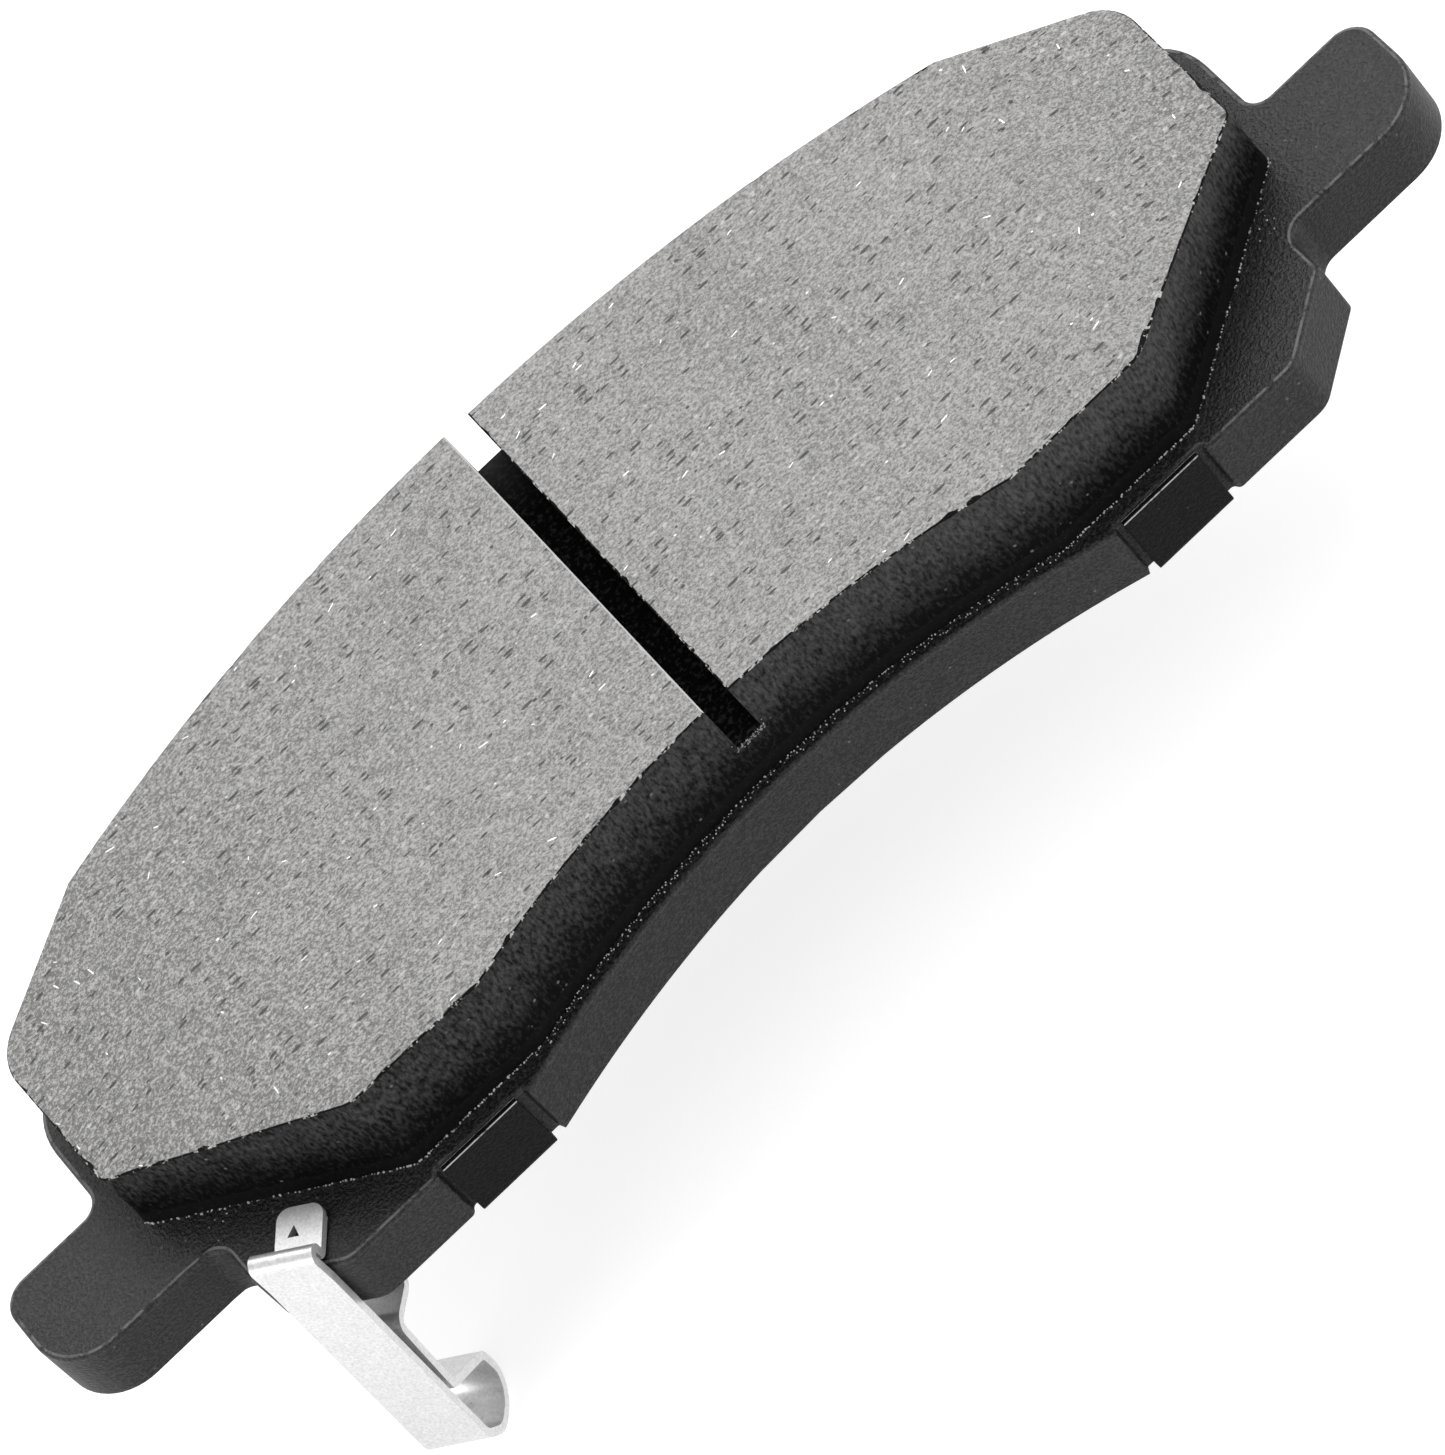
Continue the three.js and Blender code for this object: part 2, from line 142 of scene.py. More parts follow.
class Value:
    """A number socket of a shader, on which Python arithmetic adds Math nodes."""

    def __init__(self, shader: "Shader", socket: bpy.types.NodeSocket) -> None:
        """Wraps an output socket of a shader."""
        self.shader = shader
        self.socket = socket

    def _math(self, operation: str, first: "Value | Number", second: "Value | Number") -> "Value":
        """Adds one Math node and returns its result."""
        return self.shader.node("ShaderNodeMath", {"operation": operation}, {0: first, 1: second})

    def __add__(self, other: "Value | Number") -> "Value":
        """Returns self + other."""
        return self._math("ADD", self, other)

    def __radd__(self, other: Number) -> "Value":
        """Returns other + self."""
        return self._math("ADD", other, self)

    def __sub__(self, other: "Value | Number") -> "Value":
        """Returns self - other."""
        return self._math("SUBTRACT", self, other)

    def __rsub__(self, other: Number) -> "Value":
        """Returns other - self."""
        return self._math("SUBTRACT", other, self)

    def __mul__(self, other: "Value | Number") -> "Value":
        """Returns self * other."""
        return self._math("MULTIPLY", self, other)

    def __rmul__(self, other: Number) -> "Value":
        """Returns other * self."""
        return self._math("MULTIPLY", other, self)

    def above(self, edge: Number, soft: Number) -> "Value":
        """Returns 0 below the edge and 1 above it, with a smooth ramp as wide as soft says."""
        limits = {"Value": self, "From Min": edge - soft / 2, "From Max": edge + soft / 2}
        return self.shader.node("ShaderNodeMapRange", {"interpolation_type": "SMOOTHSTEP"}, limits)

    def below(self, edge: Number, soft: Number) -> "Value":
        """Returns 1 below the edge and 0 above it, with a smooth ramp."""
        return 1 - self.above(edge, soft)


class Shader:
    """A material's node tree with one Principled surface."""

    def __init__(self, name: str) -> None:
        """Makes an empty material.

        Args:
            name: The material's name.
        """
        self.material = bpy.data.materials.new(name)
        self.material.use_nodes = True
        self.tree = self.material.node_tree
        self.tree.nodes.clear()
        self.output = self.tree.nodes.new("ShaderNodeOutputMaterial")
        self.surface = self.tree.nodes.new("ShaderNodeBsdfPrincipled")
        self.tree.links.new(self.surface.outputs[0], self.output.inputs[0])

    def node(
        self,
        kind: str,
        settings: dict[str, object] | None = None,
        inputs: dict[str | int, object] | None = None,
        output: str | int = 0,
    ) -> Value:
        """Adds any node.

        Args:
            kind: The node's type.
            settings: Properties of the node, such as its operation, which are set first.
            inputs: Values or links of its sockets, by index, identifier or name.
            output: The socket that is returned, by index, identifier or name.

        Returns:
            The chosen output.
        """
        made = self.tree.nodes.new(kind)
        for key, value in (settings or {}).items():
            setattr(made, key, value)
        for key, value in (inputs or {}).items():
            self.feed(self.find(made.inputs, key), value)
        return Value(self, self.find(made.outputs, output))

    @staticmethod
    def find(sockets: Iterable[bpy.types.NodeSocket], key: str | int) -> bpy.types.NodeSocket:
        """Finds a socket.

        Args:
            sockets: A node's inputs or outputs.
            key: The socket's index, identifier or name.

        Returns:
            The socket.
        """
        sockets = list(sockets)
        if isinstance(key, int):
            return sockets[key]
        exact = [s for s in sockets if s.identifier == key]
        return exact[0] if exact else next(s for s in sockets if s.name == key and s.enabled)

    def feed(self, socket: bpy.types.NodeSocket, value: object) -> None:
        """Links a socket to a Value, or sets its number or colour."""
        if isinstance(value, Value):
            self.tree.links.new(value.socket, socket)
        else:
            socket.default_value = value

    def place(
        self,
        scale: tuple[float, float, float] = (1, 1, 1),
        turn: tuple[float, float, float] = (0, 0, 0),
    ) -> Value:
        """Returns the place on the piece in millimetres.

        Args:
            scale: Factors along the axes; under 1 stretches a pattern along that axis.
            turn: Angles about the axes, in radians.

        Returns:
            The vector.
        """
        whole = self.node("ShaderNodeTexCoord", output="Object")
        factors = tuple(s / MM for s in scale)
        return self.node("ShaderNodeMapping", None, {"Vector": whole, "Rotation": turn, "Scale": factors})

    def axis(self, name: str) -> Value:
        """Returns one coordinate of the place, in millimetres, by the name X, Y or Z."""
        return self.node("ShaderNodeSeparateXYZ", None, {0: self.place()}, name)

    def noise(self, at: Value, size_mm: float, detail: float = 2.0, rough: float = 0.5) -> Value:
        """Adds a noise pattern around one half, with finer layers as strong as rough says."""
        sockets = {"Vector": at, "Scale": 1 / size_mm, "Detail": detail, "Roughness": rough}
        return self.node("ShaderNodeTexNoise", None, sockets, "Fac")

    def cells(self, at: Value, size_mm: float, output: str = "Distance") -> Value:
        """Adds scattered points: the Distance to the nearest, in cells, or its random Color."""
        return self.node("ShaderNodeTexVoronoi", None, {"Vector": at, "Scale": 1 / size_mm}, output)

    def mix(self, factor: Value | Number, first: object, second: object) -> Value:
        """Mixes two colours.

        Args:
            factor: 0 gives the first colour and 1 the second.
            first: A colour or a link.
            second: A colour or a link.

        Returns:
            The mixed colour.
        """
        sockets = {"Factor_Float": factor, "A_Color": first, "B_Color": second}
        settings = {"data_type": "RGBA", "clamp_factor": True}
        return self.node("ShaderNodeMix", settings, sockets, "Result_Color")

    def bump(self, height: Value, depth_mm: float, normal: Value | None = None) -> Value:
        """Adds a bump.

        Args:
            height: The height, from 0 to 1.
            depth_mm: The height that 1 stands for.
            normal: Another bump's normal that this one is laid over.

        Returns:
            The normal.
        """
        sockets = {"Height": height, "Strength": 1.0, "Distance": depth_mm * MM}
        if normal is not None:
            sockets["Normal"] = normal
        return self.node("ShaderNodeBump", None, sockets, "Normal")

    def finish(self, **sockets: object) -> bpy.types.Material:
        """Sets the surface's sockets.

        Args:
            **sockets: Values or links by socket name, with _ for a space.

        Returns:
            The finished material.
        """
        for key, value in sockets.items():
            self.feed(self.surface.inputs[key.replace("_", " ")], value)
        return self.material


def grey(level: float) -> Colour:
    """Returns a neutral colour of that linear level."""
    return (level, level, level, 1.0)


def tint(level: float, warmth: float) -> Colour:
    """Returns a grey that is warmer by the given share in red and colder in blue."""
    return (level * (1 + warmth), level, level * (1 - warmth), 1.0)


# ---- Finishes -------------------------------------------------------------------


@dataclass(frozen=True)
class GroundFace:
    """The ground face of the friction material: grey, with pits, grain and metal specks."""

    level: float = 0.288
    warmth: float = 0.012
    cloud_mm: float = 16.0
    patch_mm: float = 1.3
    grain_mm: float = 0.26
    grain_contrast: float = 2.2
    fine_share: float = 0.45
    streak_mm: float = 0.45
    pit_spacing_mm: float = 0.95
    pale_spacing_mm: float = 0.62
    speck_spacing_mm: float = 1.35
    pit_share: float = 0.58
    # Painted shade: where and how much the face darkens towards its two ends.
    left_end_mm: float = -32.0
    left_fade_mm: float = 40.0
    left_painted_shade: float = 0.2
    right_end_mm: float = 48.0
    right_fade_mm: float = 16.0
    right_painted_shade: float = 0.12
    end_grit: float = 2.0
    relief_mm: float = 0.09

    def material(self) -> bpy.types.Material:
        """Returns the material."""
        shader = Shader("ground_friction")
        along = shader.place(scale=(0.7, 1, 1))
        stroke = shader.place(scale=(0.25, 1, 1))
        broad = shader.place(scale=(0.6, 1.1, 1))
        cloud = shader.noise(shader.place(), self.cloud_mm, 2.0)
        patch = shader.noise(along, self.patch_mm, 3.0, 0.6)
        grain = shader.noise(along, self.grain_mm, 2.0, 0.6)
        fine = shader.noise(along, self.grain_mm * self.fine_share, 2.0, 0.6)
        streak = shader.noise(stroke, self.streak_mm, 2.0, 0.6)
        pit = self.pits(shader, along, self.pit_spacing_mm, 0.17)
        fine_pit = self.pits(shader, stroke, self.pit_spacing_mm * self.fine_share, 0.36)
        pale_spot = self.pits(shader, broad, self.pale_spacing_mm, 0.28)
        speck = self.pits(shader, along, self.speck_spacing_mm, 0.10)
        sway = (cloud - 0.5) * 0.3 + (patch - 0.5) * 0.5 + (streak - 0.5) * 0.2
        grit = (grain - 0.5) * self.grain_contrast + (fine - 0.5) * self.grain_contrast
        # Painted shade near the ends darkens the face, and its grit is stronger there too.
        ends = self.ends(shader)
        tone = 0.5 + sway + grit * (1 + ends * self.end_grit) - ends
        dark_ground = tint(self.level * 0.5, self.warmth)
        pale_ground = tint(self.level * 1.5, self.warmth)
        ground = shader.mix(tone, dark_ground, pale_ground)
        spotted = shader.mix(pale_spot * 0.6, ground, tint(0.6, 0.01))
        hollow = pit + fine_pit
        dark = shader.mix(hollow * 0.85, spotted, tint(0.05, 0.02))
        colour = shader.mix(speck, dark, grey(0.9))
        height = grain * 0.5 + patch * 0.3 + streak * 0.3 - hollow * 0.9 + speck * 0.3
        normal = shader.bump(height, self.relief_mm)
        roughness = 0.72 + grain * 0.2 - speck * 0.35
        return shader.finish(Base_Color=colour, Roughness=roughness, Metallic=speck * 0.7, Normal=normal)

    def ends(self, shader: Shader) -> Value:
        """Returns the painted shade near the face's tapered ends: how much darker it is there."""
        side = shader.axis("X")
        left = side.below(self.left_end_mm, self.left_fade_mm) * self.left_painted_shade
        right = side.above(self.right_end_mm, self.right_fade_mm) * self.right_painted_shade
        return left + right

    def pits(self, shader: Shader, at: Value, spacing_mm: float, reach: float) -> Value:
        """Returns a mask of scattered pits, which only a share of the points have.

        Args:
            shader: The shader.
            at: The place.
            spacing_mm: The mean distance between points.
            reach: A pit's largest radius, in cells.

        Returns:
            The mask, 1 in a pit.
        """
        distance = shader.cells(at, spacing_mm)
        lot = shader.cells(at, spacing_mm, "Color")
        chance = shader.node("ShaderNodeSeparateColor", None, {0: lot}, 0)
        wobble = shader.noise(at, spacing_mm * 0.3, 2.0) * 0.16 - 0.08
        radius = (chance - (1 - self.pit_share)) * (reach / self.pit_share)
        return (radius - distance - wobble).above(0.03, 0.07)


@dataclass(frozen=True)
class PressedWall:
    """The moulded friction side, coated black, with painted shade towards its foot and painted glints."""

    level: float = 0.03
    painted_foot_shade_level: float = 0.0008
    painted_glint_level: float = 0.11
    foot_z_mm: float = 8.5
    light_z_mm: float = 14.6
    blotch_mm: float = 3.5
    grain_mm: float = 0.28
    grain_contrast: float = 2.2
    painted_glint_spacing_mm: float = 1.3
    left_light: float = 0.37
    right_painted_light: float = 0.3
    pad_width_mm: float = 90.0
    gloss: float = 0.07
    relief_mm: float = 0.12

    def material(self) -> bpy.types.Material:
        """Returns the material."""
        shader = Shader("coated_friction_wall")
        flat = shader.place()
        upright = shader.place(scale=(1, 1, 0.4))
        blotch = shader.noise(flat, self.blotch_mm, 3.0, 0.6)
        grain = shader.noise(upright, self.grain_mm, 2.0, 0.65)
        # Painted shade: below the band from foot_z_mm to light_z_mm the wall fades to near black at its
        # foot.
        middle_z = (self.foot_z_mm + self.light_z_mm) / 2
        height_mm = shader.axis("Z") + (blotch - 0.5) * 2.0
        rise = height_mm.above(middle_z, self.light_z_mm - self.foot_z_mm)
        # Painted light: the wall's upper part is brighter towards the pad's right end.
        lit = self.left_light + shader.axis("X").above(0, self.pad_width_mm) * self.right_painted_light
        wall_tone = lit + (blotch - 0.5) * 0.35 + (grain - 0.5) * self.grain_contrast
        tone = rise * wall_tone + (1 - rise) * (grain - 0.5)
        coat = shader.mix(tone, grey(self.painted_foot_shade_level), grey(self.level * 2))
        # Painted glints: small pale spots scattered on the coat.
        spot = shader.cells(flat, self.painted_glint_spacing_mm).below(0.10, 0.08)
        painted_glint = spot * shader.noise(flat, 5.0, 2.0).above(0.54, 0.1)
        colour = shader.mix(painted_glint, coat, grey(self.painted_glint_level))
        normal = shader.bump(blotch * 0.5 + grain * 0.5, self.relief_mm)
        roughness = 0.66 + grain * 0.2
        return shader.finish(
            Base_Color=colour,
            Roughness=roughness,
            Specular_IOR_Level=self.gloss,
            Normal=normal,
        )


@dataclass(frozen=True)
class SawnSlot:
    """The inside of the slot: matt, nearly black in painted shade, greyer in painted light at its outer
    end.
    """

    grain_level: float = 0.022
    painted_light_level: float = 0.035
    open_end_mm: float = 16.0
    gloss: float = 0.08

    def material(self) -> bpy.types.Material:
        """Returns the material."""
        shader = Shader("slot_inside")
        grain = shader.noise(shader.place(), 0.4, 3.0, 0.65)
        # Painted shade: the slot's inside is kept nearly black.
        dark = shader.mix(grain.above(0.58, 0.16), grey(0.001), grey(self.grain_level))
        # Painted light: greyer towards the slot's outer end, where light falls in.
        open_end = shader.axis("Y").above(self.open_end_mm, 9) * (0.2 + grain)
        colour = shader.mix(open_end, dark, grey(self.painted_light_level))
        looks = {"Specular_IOR_Level": self.gloss, "Normal": shader.bump(grain, 0.08)}
        return shader.finish(Base_Color=colour, Roughness=0.95, **looks)


@dataclass(frozen=True)
class ChippedRim:
    """The thin broken edge between the ground face and the coated wall."""

    name: str = "chipped_rim"
    pale_share: float = 0.2
    pale_level: float = 0.45
    gloss: float = 0.2

    def material(self) -> bpy.types.Material:
        """Returns the material."""
        shader = Shader(self.name)
        chip = shader.noise(shader.place(), 0.7, 3.0, 0.7)
        pale = chip.above(0.66 - self.pale_share * 0.4, 0.1)
        colour = shader.mix(pale, grey(0.001), grey(self.pale_level))
        looks = {"Specular_IOR_Level": self.gloss, "Normal": shader.bump(chip, 0.08)}
        return shader.finish(Base_Color=colour, Roughness=0.85, **looks)


@dataclass(frozen=True)
class BlackCoat:
    """Black coating on steel, with a fine orange peel and rubbed places, which on some edges are painted
    highlights.
    """

    name: str
    level: float = 0.009
    dust_level: float = 0.10
    roughness: float = 0.38
    gloss: float = 0.46
    cloud_mm: float = 9.0
    peel_mm: float = 0.3
    peel_depth_mm: float = 0.2
    speckle: float = 4.5
    dust_spacing_mm: float = 1.5
    wear_and_sheen: float = 0.0
    wear_mm: float = 1.1
    wear_and_sheen_level: float = 0.16
    wear_and_sheen_from_mm: float = 0.0
    wear_fade_mm2: float = 500.0
    wear_band_mm: float = 0.06

    def material(self) -> bpy.types.Material:
        """Returns the material."""
        shader = Shader(self.name)
        flat = shader.place()
        cloud = shader.noise(flat, self.cloud_mm, 3.0, 0.55)
        peel = shader.noise(flat, self.peel_mm, 2.0, 0.6)
        grit = shader.noise(flat, self.peel_mm * 0.45, 2.0, 0.6)
        speckle = (peel - 0.5) * self.speckle + (grit - 0.5) * self.speckle
        tone = 0.32 + (cloud - 0.5) * 0.4 + speckle
        coat = shader.mix(tone, grey(self.level * 0.2), grey(self.level * 2.6))
        dust = shader.cells(flat, self.dust_spacing_mm).below(0.07, 0.05) * cloud.above(0.5, 0.12)
        colour = shader.mix(dust, coat, grey(self.dust_level))
        roughness = self.roughness + (cloud - 0.5) * 0.16 + (grit - 0.5) * 0.12
        if self.wear_and_sheen:
            # Rubbed places: paler coat, and on some edges a painted highlight.
            rubbed = self.rubbed(shader, flat)
            colour = shader.mix(rubbed, colour, grey(self.wear_and_sheen_level))
            roughness = roughness - rubbed * 0.08
        return shader.finish(
            Base_Color=colour,
            Roughness=roughness,
            Specular_IOR_Level=self.gloss,
            Normal=shader.bump(peel * 0.7 + grit * 0.3, self.peel_depth_mm),
        )

    def rubbed(self, shader: Shader, flat: Value) -> Value:
        """Returns a mask of the rubbed places, which also paint highlights on some edges.

        Args:
            shader: The shader.
            flat: The place.

        Returns:
            The mask; with a start distance set, only in a band along the plate's front edge that
            starts that far from the pad's middle, where it also paints the rolled edge's highlight.
        """
        rubbed = shader.noise(flat, self.wear_mm, 4.0, 0.7).above(0.7 - self.wear_and_sheen * 0.35, 0.2)
        if not self.wear_and_sheen_from_mm:
            return rubbed
        side = shader.axis("X")
        outer = (side * side).above(self.wear_and_sheen_from_mm ** 2, self.wear_fade_mm2)
        band = shader.axis("Z").above(PLATE_FRONT_MM - self.wear_band_mm, self.wear_band_mm)
        return rubbed * outer * band


@dataclass(frozen=True)
class Underlayer:
    """The black squeezed-out underlayer at the block's foot, which also paints the crease's shade there.
    """

    gloss: float = 0.12
    relief_mm: float = 0.12

    def material(self) -> bpy.types.Material:
        """Returns the material."""
        shader = Shader("pressed_underlayer")
        flat = shader.place()
        grain = shader.noise(flat, 0.35, 4.0, 0.7)
        lumps = shader.noise(flat, 1.3, 3.0, 0.6)
        # Nearly black: the underlayer's own dark colour plus painted shade in the crease at the foot.
        colour = shader.mix(grain.above(0.6, 0.2), grey(0.0015), grey(0.008))
        normal = shader.bump(grain * 0.4 + lumps * 0.6, self.relief_mm)
        looks = {"Specular_IOR_Level": self.gloss, "Normal": normal}
        return shader.finish(Base_Color=colour, Roughness=0.7 + grain * 0.2, **looks)


@dataclass(frozen=True)
class BrightSteel:
    """Bright rolled spring strip: fine lengthwise grain, faint mottle and small nicks."""

    name: str = "bright_strip"
    level: float = 0.68
    nick_level: float = 0.35
    roughness: float = 0.36
    metal: float = 0.75
    line_mm: float = 0.16
    mottle_mm: float = 0.8
    grit_mm: float = 0.22
    nick_spacing_mm: float = 1.3
    relief_mm: float = 0.006

    def material(self) -> bpy.types.Material:
        """Returns the material."""
        shader = Shader(self.name)
        flat = shader.place()
        drawn = shader.place(scale=(1, 1, 0.06))
        line = shader.noise(drawn, self.line_mm, 2.0, 0.6)
        mottle = shader.noise(flat, self.mottle_mm, 3.0, 0.65)
        grit = shader.noise(flat, self.grit_mm, 2.0, 0.6)
        nick = shader.cells(flat, self.nick_spacing_mm).below(0.07, 0.06) * mottle.above(0.5, 0.1)
        tone = 0.5 + (mottle - 0.5) * 0.6 + (grit - 0.5) * 2.0
        clean = shader.mix(tone, grey(self.level * 0.82), grey(self.level * 1.16))
        return shader.finish(
            Base_Color=shader.mix(nick * 0.6, clean, grey(self.nick_level)),
            Metallic=self.metal,
            Roughness=self.roughness + (mottle - 0.5) * 0.2 + (line - 0.5) * 0.1,
            Normal=shader.bump(line * 0.5 + mottle * 0.5 - nick * 0.4, self.relief_mm),
        )


@dataclass(frozen=True)
class RubberSheet:
    """Matt rubber of the damping layer."""

    def material(self) -> bpy.types.Material:
        """Returns the material."""
        shader = Shader("damping_rubber")
        grain = shader.noise(shader.place(), 0.3, 3.0, 0.6)
        colour = shader.mix(grain, grey(0.008), grey(0.02))
        return shader.finish(Base_Color=colour, Roughness=0.85, Normal=shader.bump(grain, 0.02))


@dataclass(frozen=True)
class PaleFloor:
    """The plain pale floor, lit a little from below as a light table is."""

    level: float = 0.65
    glow: float = 0.62
    roughness: float = 0.9

    def material(self) -> bpy.types.Material:
        """Returns the material."""
        return Shader("pale_floor").finish(
            Base_Color=grey(self.level),
            Roughness=self.roughness,
            Emission_Color=grey(1.0),
            Emission_Strength=self.glow,
        )


# ---- Bench ----------------------------------------------------------------------


class Workpiece:
    """One mesh on the bench, shaped with Blender's own edit tools."""

    def __init__(self, thing: bpy.types.Object) -> None:
        """Takes an object that is in the scene."""
        self.thing = thing

    @classmethod
    def from_node(cls, node: bpy.types.Object, name: str) -> "Workpiece":
        """Copies a solid of the frame and merges its loose triangles into a shell.

        Args:
            node: The frame's object, which is left alone.
            name: The new piece's name.

        Returns:
            The copy, with flat faces in one piece.
        """
        thing = bpy.data.objects.new(name, node.data.copy())
        bpy.context.scene.collection.objects.link(thing)
        thing.data.name = name
        thing.data.materials.clear()
        made = cls(thing)
        with made.editing():
            bpy.ops.mesh.select_all(action="SELECT")
            bpy.ops.mesh.remove_doubles(threshold=MERGE_DISTANCE)
            bpy.ops.mesh.dissolve_limited(angle_limit=FLAT_ANGLE)
            bpy.ops.mesh.customdata_custom_splitnormals_clear()
        return made

    @classmethod
    def from_active(cls, name: str) -> "Workpiece":
        """Takes the active object, such as a primitive that was just added.

        Args:
            name: The piece's name.

        Returns:
            The piece.
        """
        thing = bpy.context.object
        thing.name = name
        thing.data.name = name
        return cls(thing)

    def copy(self, name: str, placed: Matrix) -> bpy.types.Object:
        """Copies the piece, with a mesh of its own.

        Args:
            name: The copy's name.
            placed: Its place, turn and size, which go into its mesh.

        Returns:
            The copy.
        """
        thing = bpy.data.objects.new(name, self.thing.data.copy())
        thing.data.transform(placed)
        bpy.context.scene.collection.objects.link(thing)
        return thing

    @staticmethod
    def deselect() -> None:
        """Deselects everything in the scene."""
        bpy.ops.object.select_all(action="DESELECT")

    def choose(self) -> None:
        """Makes this the only selected object, and the active one."""
        self.deselect()
        self.thing.select_set(True)
        bpy.context.view_layer.objects.active = self.thing

    @contextmanager
    def editing(self) -> Iterable[None]:
        """Holds the piece in edit mode for a while."""
        self.choose()
        bpy.ops.object.mode_set(mode="EDIT")
        bpy.ops.mesh.select_mode(type="EDGE")
        try:
            yield
        finally:
            bpy.ops.object.mode_set(mode="OBJECT")

    def pick(
        self,
        edges: EdgeTest | None = None,
        faces: FaceTest | None = None,
        verts: VertTest | None = None,
    ) -> int:
        """Selects what passes a test, in edit mode.

        Args:
            edges: The test for edges.
            faces: The test for faces.
            verts: The test for corners.

        Returns:
            How many were selected.
        """
        bpy.ops.mesh.select_all(action="DESELECT")
        form = bmesh.from_edit_mesh(self.thing.data)
        form.normal_update()
        found = []
        if edges:
            found += [e for e in form.edges if edges(e)]
        if faces:
            found += [f for f in form.faces if faces(f)]
        if verts:
            found += [v for v in form.verts if verts(v)]
        for part in found:
            part.select_set(True)
        form.select_flush_mode()
        bmesh.update_edit_mesh(self.thing.data)
        return len(found)

    def bevel(self, test: EdgeTest, width: float, steps: int, slot: int = -1) -> None:
        """Rounds the edges that pass a test.

        Args:
            test: The test.
            width: The rounding's width.
            steps: How many faces it has.
            slot: The material slot of the new faces, or -1 to keep their neighbours'.
        """
        with self.editing():
            if self.pick(edges=test):
                bpy.ops.mesh.bevel(
                    offset=width,
                    offset_type="OFFSET",
                    segments=steps,
                    profile=0.5,
                    affect="EDGES",
                    clamp_overlap=False,
                    material=slot,
                    miter_outer="ARC" if steps > 2 else "SHARP",
                )

    def refine(self, test: EdgeTest, longest: float) -> None:
        """Halves the edges that pass a test until none is longer than a given length.

        Args:
            test: The test.
            longest: The greatest length that is left.
        """
        with self.editing():
            while self.pick(edges=lambda e: test(e) and e.calc_length() > longest):
                bpy.ops.mesh.subdivide(number_cuts=1, ngon=True)

    def triangulate(self, test: FaceTest) -> None:
        """Splits the faces that pass a test into triangles."""
        with self.editing():
            bpy.ops.mesh.select_mode(type="FACE")
            self.pick(faces=test)
            bpy.ops.mesh.quads_convert_to_tris(quad_method="BEAUTY", ngon_method="BEAUTY")

    def shake(self, move: Callable[[bmesh.types.BMVert], Vector | None]) -> None:
        """Shifts corners one by one.

        Args:
            move: Gives the shift of a corner, or None to leave it.
        """
        form = bmesh.new()
        form.from_mesh(self.thing.data)
        form.normal_update()
        shifts = [(v, move(v)) for v in form.verts]
        for vert, shift in shifts:
            if shift is not None:
                vert.co += shift
        form.to_mesh(self.thing.data)
        form.free()

    def dress(self, *materials: bpy.types.Material) -> None:
        """Gives the piece its materials, one per slot."""
        self.thing.data.materials.clear()
        for material in materials:
            self.thing.data.materials.append(material)

    def assign(self, pick: Callable[[bmesh.types.BMFace], int | None]) -> None:
        """Assigns faces to material slots.

        Args:
            pick: Gives a face's slot, or None to leave it.
        """
        mesh = self.thing.data
        form = bmesh.new()
        form.from_mesh(mesh)
        form.normal_update()
        for face in form.faces:
            slot = pick(face)
            if slot is not None:
                face.material_index = slot
        form.to_mesh(mesh)
        form.free()

    def smooth(self, degrees: float = 35.0) -> None:
        """Shades the piece smooth up to an angle, with flat faces kept flat."""
        self.choose()
        bpy.ops.object.shade_smooth_by_angle(angle=math.radians(degrees))
        bpy.ops.object.modifier_add(type="WEIGHTED_NORMAL")
        modifier = self.thing.modifiers[-1]
        modifier.keep_sharp = True
        modifier.mode = "FACE_AREA"
        bpy.ops.object.modifier_apply(modifier=modifier.name)

    def hand_over(self, body: Body, slot: Node, stands_for: Node | None = None) -> None:
        """Fixes the finished piece to its body and reports it.

        Args:
            body: The body that it rides on.
            slot: Not used.
            stands_for: The solid that it replaces.
        """
        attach(self.thing, body.value)
        if stands_for:
            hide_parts(stands_for.value)
        log.info("%s: %d faces on %s", self.thing.name, len(self.thing.data.polygons), body.value)


def is_rim(edge: bmesh.types.BMEdge, side: int = 1) -> bool:
    """Tells whether an edge joins a level face to an upright one.

    Args:
        edge: The edge.
        side: 1 for a level face that looks up, -1 for one that looks down.

    Returns:
        Whether it does.
    """
    if len(edge.link_faces) != 2:
        return False
    rises = sorted(face.normal.z * side for face in edge.link_faces)
    return rises[1] > LEVEL_RISE and abs(rises[0]) < UPRIGHT_RISE


def is_sharp(edge: bmesh.types.BMEdge) -> bool:
    """Tells whether an edge is a sheared outer corner of a sheet."""
    joined = len(edge.link_faces) == 2
    return joined and edge.is_convex and edge.calc_face_angle(0) > SHARP_ANGLE


def middle(edge: bmesh.types.BMEdge) -> Vector:
    """Returns an edge's middle."""
    return (edge.verts[0].co + edge.verts[1].co) / 2


def flat_direction(direction: Vector) -> Vector:
    """Returns the level part of a direction, one unit long."""
    return Vector((direction.x, direction.y, 0)).normalized()


def gather(things: list[bpy.types.Object], name: str) -> Workpiece:
    """Joins copies into one piece.

    Args:
        things: The copies, each with its place in its mesh.
        name: The joined piece's name.

    Returns:
        The piece.
    """
    Workpiece.deselect()
    for thing in things:
        thing.select_set(True)
    bpy.context.view_layer.objects.active = things[0]
    bpy.ops.object.join()
    return Workpiece.from_active(name)


# ---- Sub-assemblies -------------------------------------------------------------


